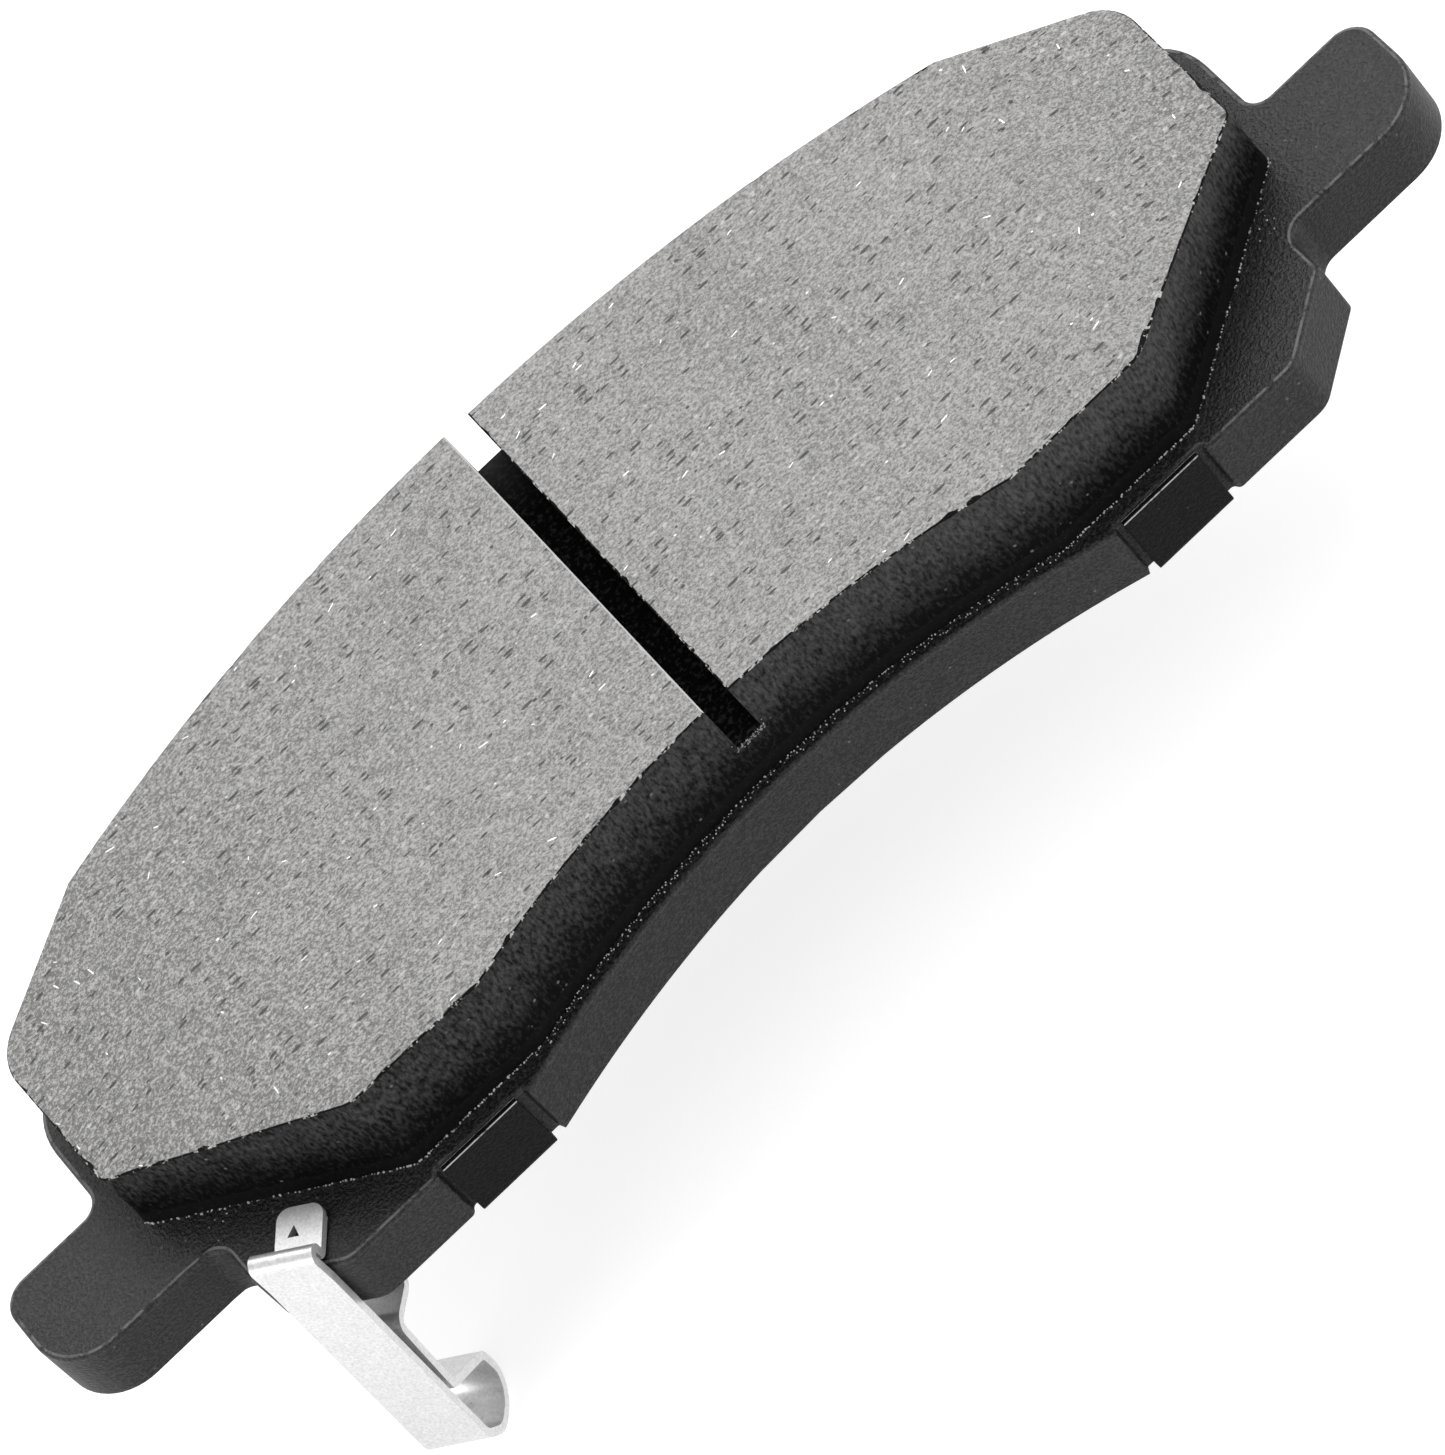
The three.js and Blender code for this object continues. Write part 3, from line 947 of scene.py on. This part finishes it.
@dataclass
class BackingPlate:
    """The pressed steel plate: rolled over at its front edge, with a fine burr behind."""

    frame: dict
    roll: float = 0.42 * MM
    sheared_rise: float = 0.3
    burr: float = 0.14 * MM
    key_radius: float = 6.0 * MM
    key_places: tuple[tuple[float, float], ...] = ((-42, -4), (-18, 2), (18, 2), (42, -4))

    def build(self) -> None:
        """Makes the plate and dresses it."""
        plate = Workpiece.from_node(self.frame["nodes"][Node.PLATE.value], "coated_plate")
        coat = BlackCoat("plate_coat")
        # The rolled edge is paler rubbed coat on the shoulders, which also paints its highlight.
        wear_and_sheen = {"wear_and_sheen": 0.7, "wear_and_sheen_level": 0.12, "wear_and_sheen_from_mm": 38}
        rolled = BlackCoat("plate_rolled_edge", level=0.01, gloss=0.36, **wear_and_sheen)
        sheared = BlackCoat("plate_sheared_edge", roughness=0.5, gloss=0.24)
        plate.dress(coat.material(), rolled.material(), sheared.material())
        plate.bevel(lambda e: is_rim(e) and not self.at_key(e), self.roll, 4, slot=1)
        plate.bevel(lambda e: is_rim(e, -1) and not self.at_key(e), self.burr, 2)
        plate.assign(self.slot_of)
        plate.smooth()
        plate.hand_over(Body.PAD, Node.PLATE, Node.PLATE)

    def at_key(self, edge: bmesh.types.BMEdge) -> bool:
        """Tells whether an edge is on one of the through holes."""
        spot = middle(edge).to_2d()
        return any((spot - Vector(place) * MM).length < self.key_radius for place in self.key_places)

    def slot_of(self, face: bmesh.types.BMFace) -> int | None:
        """Returns the material slot of a face: the rolled edge keeps its own."""
        if face.material_index == 1:
            return None
        return 2 if abs(face.normal.z) < self.sheared_rise else 0


class BlockSlot(IntEnum):
    """The friction block's material slots."""

    GROUND = 0
    WALL = 1
    RIM = 2
    INSIDE = 3
    BURR = 4


@dataclass
class FrictionBlock:
    """The moulded block: ground face, coated walls, slot, and a rim with small chips."""

    frame: dict
    top_z: float = 16.6 * MM
    slot_floor_z: float = 11.1 * MM
    slot_reach: float = 1.3 * MM
    burr_reach: float = 1.43 * MM
    clearance: float = 0.5 * MM
    rim: float = 0.11 * MM
    rim_step: float = 0.4 * MM
    crumble_mm: float = 0.07
    bite_mm: float = 0.6
    sink: float = 0.02 * MM
    seed: int = 7
    fibres: int = 90
    fibre_length_mm: tuple[float, float] = (0.25, 0.9)
    fibre_width_mm: tuple[float, float] = (0.09, 0.18)
    fibre_thickness: float = 0.05 * MM
    fibre_sink: float = 0.012 * MM
    slot_crumbs: int = 70
    crumb_mm: tuple[float, float] = (0.04, 0.09)
    inner_y: float = 18.5 * MM
    inner_radius: float = 90 * MM

    def build(self) -> None:
        """Makes the block, the steel fibres in its face and the crumbs at its slot."""
        block = Workpiece.from_node(self.frame["nodes"][Node.FRICTION.value], "friction_pad")
        block.shake(self.lower)
        burr = ChippedRim("slot_burr", pale_share=1.2, pale_level=0.5)
        finishes = (GroundFace(), PressedWall(), ChippedRim(), SawnSlot(), burr)
        block.dress(*(finish.material() for finish in finishes))
        block.refine(self.on_rim, self.rim_step)
        block.bevel(self.on_rim, self.rim, 1, BlockSlot.RIM)
        block.shake(self.chip)
        block.assign(self.slot_of)
        block.smooth(25)
        block.hand_over(Body.PAD, Node.FRICTION, Node.FRICTION)
        self.scatter_fibres(block.thing)
        self.fringe_slot()

    def lower(self, vert: bmesh.types.BMVert) -> Vector | None:
        """Returns how a corner above the slot's floor sinks, which leaves room for fibres."""
        over_floor = vert.co.z > self.slot_floor_z + 0.1 * MM
        return Vector((0, 0, -self.sink)) if over_floor else None

    def on_rim(self, edge: bmesh.types.BMEdge) -> bool:
        """Tells whether an edge bounds the ground face."""
        return is_rim(edge) and middle(edge).z > self.slot_floor_z + self.clearance

    def chip(self, vert: bmesh.types.BMVert) -> Vector | None:
        """Returns how a corner of the rim is broken away.

        Args:
            vert: The corner.

        Returns:
            The shift, inwards on the face and down on the wall.
        """
        if not any(face.material_index == BlockSlot.RIM for face in vert.link_faces):
            return None
        spot = vert.co / MM
        crumble = abs(noise.noise(spot * 1.7)) * self.crumble_mm
        bite = max(0.0, noise.noise(spot * 0.7 + Vector((9, 3, 1))) - 0.3) * self.bite_mm
        amount = (crumble + bite) * MM
        if any(face.normal.z > LEVEL_RISE for face in vert.link_faces):
            return -flat_direction(vert.normal) * amount
        return Vector((0, 0, -amount * 0.5))

    def slot_of(self, face: bmesh.types.BMFace) -> int | None:
        """Returns a face's material slot: the rim keeps its own, but for the pale burr."""
        centre = face.calc_center_median()
        if face.material_index == BlockSlot.RIM:
            at_burr = -self.burr_reach < centre.x < 0 and abs(face.normal.x) > 0.4
            return BlockSlot.BURR if at_burr else None
        if face.normal.z > LEVEL_RISE and centre.z > self.slot_floor_z + self.clearance:
            return BlockSlot.GROUND
        in_slot = abs(centre.x) < self.slot_reach and abs(face.normal.y) < UPRIGHT_RISE
        inside = in_slot and centre.z > self.slot_floor_z - self.rim
        return BlockSlot.INSIDE if inside else BlockSlot.WALL

    def scatter_fibres(self, block: bpy.types.Object) -> None:
        """Lays short steel fibres flat in the ground face, mostly along its grain.

        Args:
            block: The block whose face they lie in.
        """
        Workpiece.deselect()
        lying = (0, math.pi / 2, 0)
        bpy.ops.mesh.primitive_cylinder_add(vertices=6, radius=0.5, depth=1, rotation=lying)
        model = Workpiece.from_active("fibre_model")
        bpy.ops.object.transform_apply(location=True, rotation=True, scale=True)
        model.bevel(lambda e: abs(middle(e).x) > 0.49, 0.22, 1)
        draw = random.Random(self.seed)
        low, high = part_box(Node.FRICTION.value)
        copies = []
        while len(copies) < self.fibres:
            x, y = draw.uniform(low.x, high.x), draw.uniform(low.y, high.y)
            above = Vector((x, y, self.top_z + 10 * MM))
            length = draw.uniform(*self.fibre_length_mm) * MM
            width = draw.uniform(*self.fibre_width_mm) * MM
            turn = Matrix.Rotation(draw.gauss(0.0, 0.4), 4, "Z")
            hit, spot, normal, _ = block.ray_cast(above, Vector((0, 0, -1)))
            if not hit or normal.z < 0.95 or spot.z < self.slot_floor_z + self.clearance:
                continue
            lie = normal.to_track_quat("Z", "Y").to_matrix().to_4x4()
            size = Matrix.Diagonal((length, width, self.fibre_thickness, 1))
            sunk = Matrix.Translation(spot - normal * self.fibre_sink)
            copies.append(model.copy("fibre", sunk @ lie @ turn @ size))
        bpy.data.objects.remove(model.thing)
        fibres = gather(copies, "steel_fibres")
        fibres.dress(BrightSteel("fibre_steel", level=0.95, roughness=0.4).material())
        fibres.smooth()
        fibres.hand_over(Body.PAD, Node.FRICTION)

    def fringe_slot(self) -> None:
        """Leaves crumbs of coating round the slot's open inner end."""
        draw = random.Random(self.seed + 1)
        crumbs = Crumbs(self.seed)
        for _ in range(self.slot_crumbs):
            side = draw.uniform(-1.15, 1.15)
            drop = draw.uniform(0.0, 0.45) + max(0.0, abs(side) - 1) * draw.uniform(-9, 0)
            x = side * self.slot_reach
            wall_y = -(self.inner_y - x ** 2 / (2 * self.inner_radius))
            place = Vector((x, wall_y, self.slot_floor_z - drop * MM))
            crumbs.lay(place, draw.uniform(*self.crumb_mm) * MM, draw.uniform(0, math.tau))
        coat = BlackCoat("slot_crumb_coat", level=0.16, wear_and_sheen=0.6, wear_and_sheen_level=0.3)
        crumbs.hand_over("slot_crumbs", coat, Node.FRICTION)


class Crumbs:
    """Loose crumbs, laid one by one and joined into one piece."""

    UNEVENNESS = 0.2
    FLATNESS = 0.8

    def __init__(self, seed: int) -> None:
        """Makes the uneven pebble that is copied.

        Args:
            seed: Seeds the pebble's shape.
        """
        Workpiece.deselect()
        bpy.ops.mesh.primitive_ico_sphere_add(subdivisions=1, radius=1)
        self.model = Workpiece.from_active("crumb_model")
        with self.model.editing():
            bpy.ops.mesh.select_all(action="SELECT")
            bpy.ops.transform.vertex_random(offset=self.UNEVENNESS, seed=seed)
        self.copies: list[bpy.types.Object] = []

    def lay(self, place: Vector, radius: float, turn: float) -> None:
        """Lays one crumb.

        Args:
            place: Its middle.
            radius: Its radius.
            turn: Its angle about Z.
        """
        size = Matrix.Diagonal((radius, radius, radius * self.FLATNESS, 1))
        placed = Matrix.Translation(place) @ Matrix.Rotation(turn, 4, "Z") @ size
        self.copies.append(self.model.copy("crumb", placed))

    def hand_over(self, name: str, finish: BlackCoat, slot: Node) -> None:
        """Joins the crumbs, dresses them and fixes them to the pad.

        Args:
            name: The piece's name.
            finish: The crumbs' finish.
            slot: Passed on to the piece's own hand-over, which does not use it.
        """
        bpy.data.objects.remove(self.model.thing)
        joined = gather(self.copies, name)
        joined.dress(finish.material())
        joined.smooth(60)
        joined.hand_over(Body.PAD, slot)


@dataclass
class Underlay:
    """The underlayer at the block's foot, its squeezed-out lip, and crumbs of coating."""

    frame: dict
    foot_z: float = PLATE_FRONT_Z
    step: float = 0.7 * MM
    lip_mm: float = 0.1
    lip_sway_mm: float = 0.16
    arc_end_x: float = 27.0 * MM
    arc_spread: float = 0.6 * MM
    side_spread: float = 0.14 * MM
    arc_crumbs: int = 3
    bare_end: float = 0.96
    notch_crumbs: int = 9
    notch: tuple[float, float] = (53.2 * MM, -13.6 * MM)
    notch_spread: float = 0.8 * MM
    side_crumbs: int = 2
    seed: int = 21

    def build(self) -> None:
        """Makes the underlayer and the crumbs of coating round it."""
        layer = Workpiece.from_node(self.frame["nodes"][Node.BOND.value], "underlayer")
        layer.refine(self.on_foot, self.step)
        layer.triangulate(lambda face: abs(face.normal.z) < UPRIGHT_RISE)
        layer.shake(self.squeeze)
        layer.dress(Underlayer().material())
        layer.smooth(30)
        layer.hand_over(Body.PAD, Node.BOND, Node.BOND)
        self.scatter_crumbs(layer)

    def on_foot(self, edge: bmesh.types.BMEdge) -> bool:
        """Tells whether an edge is on the foot of the layer's outer wall."""
        upright = [face for face in edge.link_faces if abs(face.normal.z) < UPRIGHT_RISE]
        outside = any(face.calc_center_median().z > self.foot_z for face in upright)
        return outside and self.at_foot(edge)

    def at_foot(self, edge: bmesh.types.BMEdge) -> bool:
        """Tells whether an edge bounds the layer's underside at the height of its foot."""
        return abs(middle(edge).z - self.foot_z) < SAME_LEVEL and is_rim(edge, -1)

    def squeeze(self, vert: bmesh.types.BMVert) -> Vector | None:
        """Returns how far a corner of the foot is squeezed outwards."""
        if not any(self.on_foot(edge) for edge in vert.link_edges):
            return None
        sway = abs(noise.noise(vert.co / MM * 0.5))
        return flat_direction(vert.normal) * (self.lip_mm + self.lip_sway_mm * sway) * MM

    def scatter_crumbs(self, layer: Workpiece) -> None:
        """Sets crumbs of pale coating along the foot, but for its ends, and in the notches.

        Args:
            layer: The layer whose foot they follow.
        """
        draw = random.Random(self.seed)
        form = bmesh.new()
        form.from_mesh(layer.thing.data)
        form.normal_update()
        feet = [edge for edge in form.edges if self.at_foot(edge)]
        spots = [(middle(edge), self.outward(edge), edge.calc_length()) for edge in feet]
        form.free()
        spots.sort(key=lambda spot: (round(spot[0].x, 6), round(spot[0].y, 6)))
        crumbs = Crumbs(self.seed)
        for spot, outward, length in spots:
            if abs(outward.x) > self.bare_end:
                continue
            on_arc = abs(spot.x) < self.arc_end_x and spot.y < 0
            spread = self.arc_spread if on_arc else self.side_spread
            for _ in range(self.arc_crumbs if on_arc else self.side_crumbs):
                radius = draw.uniform(0.04, 0.09 if on_arc else 0.12) * MM
                aside = outward * (0.02 * MM + spread * draw.random() ** 2)
                along = outward.cross(Vector((0, 0, 1))) * length * draw.uniform(-0.5, 0.5)
                place = Vector((spot.x, spot.y, self.foot_z + radius * 0.4)) + aside + along
                crumbs.lay(place, radius, draw.uniform(0, math.tau))
        for side in (-1, 1):
            for _ in range(self.notch_crumbs):
                radius = draw.uniform(0.04, 0.1) * MM
                x, y = (draw.gauss(at, self.notch_spread) for at in self.notch)
                place = Vector((side * x, y, self.foot_z + radius * 0.3))
                crumbs.lay(place, radius, draw.uniform(0, math.tau))
        coat = BlackCoat("crumb_coat", level=0.12, wear_and_sheen=0.85, wear_and_sheen_level=0.5)
        crumbs.hand_over("coating_crumbs", coat, Node.BOND)

    @staticmethod
    def outward(edge: bmesh.types.BMEdge) -> Vector:
        """Returns the direction away from the wall at an edge of the foot."""
        wall = min(edge.link_faces, key=lambda face: abs(face.normal.z))
        return flat_direction(wall.normal)


@dataclass
class Shim:
    """The tabbed black steel shim, with bare metal and a painted highlight on its tabs' sheared tops."""

    frame: dict
    edge: float = 0.07 * MM

    def build(self) -> None:
        """Makes the shim."""
        shim = Workpiece.from_node(self.frame["nodes"][Node.SHIM.value], "tabbed_shim")
        coat = BlackCoat("shim_coat", level=0.0025, roughness=0.62, gloss=0.1)
        # Painted highlight: the bare, paler outer edges of the tabs' tops.
        bare = BlackCoat("shim_bare_edge_highlight", level=0.05, wear_and_sheen=0.8, wear_and_sheen_level=0.45)
        shim.dress(coat.material(), bare.material())
        shim.bevel(is_sharp, self.edge, 2, slot=0)
        shim.assign(self.slot_of)
        shim.smooth(30)
        shim.hand_over(Body.SHIM, Node.SHIM, Node.SHIM)

    def slot_of(self, face: bmesh.types.BMFace) -> int:
        """Returns a face's material slot: the tabs' tops have bare outer edges with a painted highlight.
        """
        is_top = face.calc_center_median().z > PLATE_FRONT_Z - self.edge
        return 1 if is_top and 0.2 < face.normal.z < 0.95 and abs(face.normal.y) > 0.2 else 0


@dataclass
class SpringClip:
    """The bent strip over one shoulder, with a rounded tab."""

    frame: dict
    tab_corner: float = 1.05 * MM
    tip_reach: float = 0.3 * MM
    shoulder_angle: float = math.radians(38)

    def build(self) -> None:
        """Makes the clip."""
        clip = Workpiece.from_node(self.frame["nodes"][Node.CLIP.value], "bent_clip")
        tip = self.tip_of(clip)
        clip.bevel(lambda e: self.is_corner(e, tip), self.tab_corner, 6)
        clip.dress(BrightSteel().material())
        clip.smooth(30)
        clip.hand_over(Body.CLIP, Node.CLIP, Node.CLIP)

    def tip_of(self, clip: Workpiece) -> float:
        """Returns how far in from the shoulder the tab's tip reaches."""
        high = [v.co for v in clip.thing.data.vertices if v.co.z > PLATE_FRONT_Z]
        return max(self.inward(place) for place in high)

    def inward(self, place: Vector) -> float:
        """Returns the distance of a place along the way in from the left shoulder."""
        return place.x * math.sin(self.shoulder_angle) + place.y * math.cos(self.shoulder_angle)

    def is_corner(self, edge: bmesh.types.BMEdge, tip: float) -> bool:
        """Tells whether an edge is an upright corner at the tab's tip."""
        along = (edge.verts[0].co - edge.verts[1].co).normalized()
        at_tip = abs(self.inward(middle(edge)) - tip) < self.tip_reach
        return abs(along.z) > LEVEL_RISE and at_tip and middle(edge).z > PLATE_FRONT_Z


@dataclass
class DampingLayer:
    """The rubber sheet between plate and shim, whose solid stays as it is."""

    frame: dict

    def build(self) -> None:
        """Dresses the layer's solid."""
        thing = self.frame["nodes"][Node.DAMPER.value]
        thing.data.materials.clear()
        thing.data.materials.append(RubberSheet().material())
        log.info("%s: dressed", thing.name)


# ---- Studio ---------------------------------------------------------------------


@dataclass(frozen=True)
class SoftBox:
    """A large soft light."""

    name: str
    place: tuple[float, float, float]
    width: float
    power: float

    def build(self) -> None:
        """Hangs the light, aimed at the pad."""
        data = bpy.data.lights.new(self.name, "AREA")
        data.shape = "SQUARE"
        data.size = self.width
        data.energy = self.power
        lamp = bpy.data.objects.new(self.name, data)
        bpy.context.scene.collection.objects.link(lamp)
        lamp.location = self.place
        lamp.rotation_mode = "QUATERNION"
        lamp.rotation_quaternion = Vector(self.place).to_track_quat("Z", "Y")
        lamp.visible_camera = False


@dataclass
class Studio:
    """Pale floor, even pale surroundings, soft lights and the camera."""

    floor_z: float
    floor_width: float = 8.0
    world_strength: float = 0.8
    camera_place: tuple[float, float, float] = (2.904 * MM, -494.52 * MM, 563.55 * MM)
    camera_turn_deg: tuple[float, float, float] = (31.9962, 26.9604, -35.5011)
    lens_mm: float = 248.33

    def build(self) -> None:
        """Sets up the floor, the surroundings, the lights and the camera."""
        self.lay_floor()
        self.light()
        self.set_camera()

    def lay_floor(self) -> None:
        """Lays the floor under the lowest point."""
        Workpiece.deselect()
        bpy.ops.mesh.primitive_plane_add(size=self.floor_width, location=(0, 0, self.floor_z))
        floor = Workpiece.from_active("floor")
        floor.dress(PaleFloor().material())
        floor.thing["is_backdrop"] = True

    def light(self) -> None:
        """Lights the surroundings evenly and hangs the soft boxes."""
        scene = bpy.context.scene
        scene.view_settings.view_transform = "Standard"
        world = bpy.data.worlds.new("studio")
        world.use_nodes = True
        backdrop = world.node_tree.nodes["Background"]
        backdrop.inputs["Color"].default_value = grey(1.0)
        backdrop.inputs["Strength"].default_value = self.world_strength
        scene.world = world
        for box in (
            SoftBox("key_light", place=(0.35, 0.9, 1.5), width=1.2, power=15.0),
            SoftBox("right_light", place=(1.4, -0.4, 0.3), width=0.8, power=7.0),
            SoftBox("left_light", place=(-1.4, -0.4, 0.3), width=0.8, power=7.0),
        ):
            box.build()

    def set_camera(self) -> None:
        """Places the camera."""
        data = bpy.data.cameras.new("camera")
        data.lens = self.lens_mm
        camera = bpy.data.objects.new("camera", data)
        bpy.context.scene.collection.objects.link(camera)
        camera.location = self.camera_place
        camera.rotation_euler = [math.radians(angle) for angle in self.camera_turn_deg]
        bpy.context.scene.camera = camera


def main() -> None:
    logging.basicConfig(level=logging.INFO, format="%(name)s: %(message)s")
    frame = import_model()
    frame_box = [list(corner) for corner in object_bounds()]
    Studio(floor_z=frame_box[0][2]).build()
    for assembly in (BackingPlate, FrictionBlock, Underlay, DampingLayer, Shim, SpringClip):
        assembly(frame).build()


if __name__ == "__main__":
    main()
